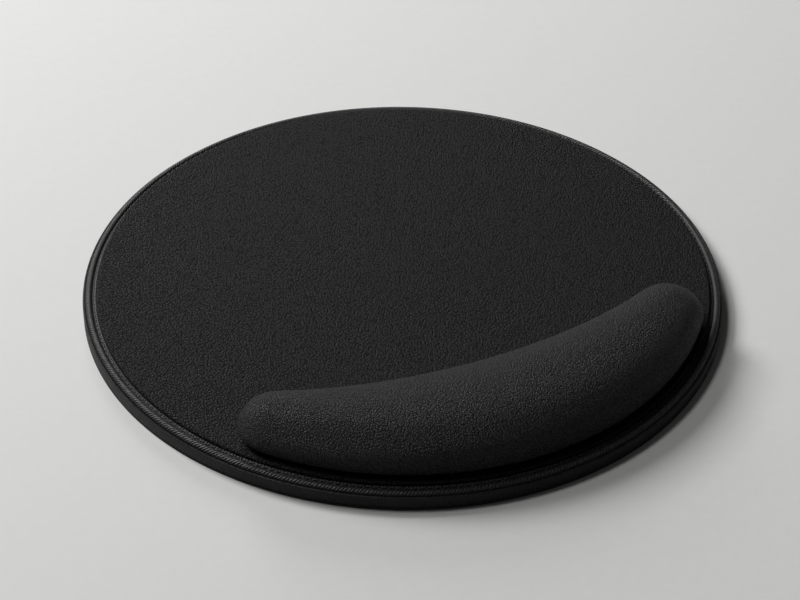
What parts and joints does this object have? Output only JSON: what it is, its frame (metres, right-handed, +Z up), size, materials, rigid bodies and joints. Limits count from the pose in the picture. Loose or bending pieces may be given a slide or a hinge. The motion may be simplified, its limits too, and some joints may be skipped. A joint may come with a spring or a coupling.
{
  "type": "round mouse mat with wrist rest",
  "caption": "Round padded mouse mat with a corded, stitched edge and a crescent-shaped cushioned wrist rest along its front, lying flat on a non-slip base.",
  "frame": {"origin": "centre of the mat's underside, on the desk", "axes": "+Z up; the wrist rest lies on the -Y side, towards the user, and the object is mirror symmetric about X = 0"},
  "size_m": [0.23, 0.23, 0.0241],
  "materials": {
    "mat_leatherette": "matt black, fine pebble grain",
    "rest_leatherette": "matt black, pronounced pebble grain",
    "edge_leatherette": "matt black, slight sheen on the bead",
    "thread": "black polyester sewing thread",
    "filler_cord": "grey cotton piping cord",
    "foam": "dark open-cell foam",
    "hardboard": "brown pressed hardboard",
    "base_rubber": "matt black non-slip rubber",
    "mounting_tape": "white double-sided foam tape"
  },
  "bodies": {
    "root": {"base_sheet": "base_rubber", "stiffener_board": "hardboard", "mat_foam": "foam", "top_panel": "mat_leatherette", "side_band": "edge_leatherette", "edge_binding": "edge_leatherette", "binding_cord": "filler_cord", "rim_stitches": "thread", "bobbin_thread": "thread", "rest_cover": "rest_leatherette", "rest_foam": "foam", "rest_board": "hardboard", "rest_tape": "mounting_tape"}
  },
  "joints": []
}
